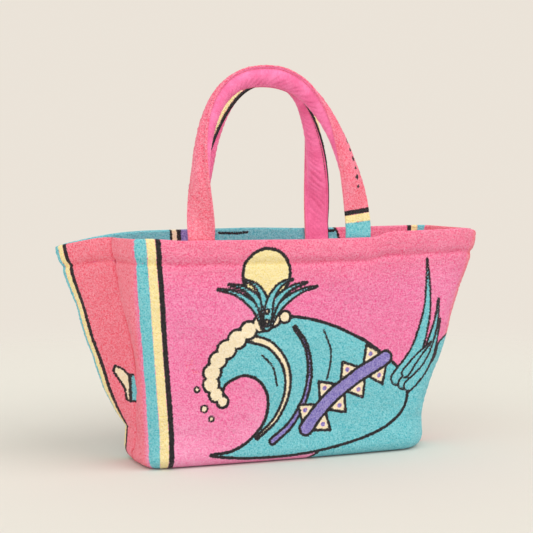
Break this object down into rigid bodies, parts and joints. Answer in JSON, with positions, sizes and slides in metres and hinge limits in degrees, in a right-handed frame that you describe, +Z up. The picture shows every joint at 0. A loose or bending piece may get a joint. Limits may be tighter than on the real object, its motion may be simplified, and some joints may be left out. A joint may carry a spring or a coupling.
{
  "type": "beach bag",
  "caption": "Open terry towelling tote with a boxed base, turned hem, smooth lining and padded carrying handles that fold down over the outside.",
  "frame": {"origin": "centre of the flat base, on the floor", "axes": "+X to the right of the front face, the front face looks to -Y, +Z up"},
  "size_m": [0.5837, 0.1926, 0.5303],
  "materials": {
    "terry": "pink looped terry towelling with a printed pattern in teal, yellow, purple, cream and black",
    "lining": "smooth pink woven lining",
    "thread": "deep pink sewing thread",
    "strap_terry": "salmon pink looped terry towelling with stripes at the feet",
    "strap_backing": "smooth pink woven fabric, puckered along the stitching",
    "stuffing": "off-white wadding"
  },
  "bodies": {
    "bag": {"front_panel": "terry", "back_panel": "terry", "front_lining": "lining", "back_lining": "lining", "hem_thread": "thread", "front_handle_ends": "strap_terry", "back_handle_ends": "strap_terry", "front_handle_tacks": "thread", "back_handle_tacks": "thread"},
    "front_handle": {"front_handle_terry": "strap_terry", "front_handle_backing": "strap_backing", "front_handle_core": "stuffing", "front_handle_thread": "thread"},
    "back_handle": {"back_handle_terry": "strap_terry", "back_handle_backing": "strap_backing", "back_handle_core": "stuffing", "back_handle_thread": "thread"}
  },
  "joints": [
    {"name": "front_handle_fold", "type": "hinge", "parent": "bag", "child": "front_handle", "pos_m": [-0.028, -0.0798, 0.31], "axis": [1, 0, 0], "range_deg": [-12, 110]},
    {"name": "back_handle_fold", "type": "hinge", "parent": "bag", "child": "back_handle", "pos_m": [-0.002, 0.0798, 0.31], "axis": [-1, 0, 0], "range_deg": [-12, 110]}
  ]
}
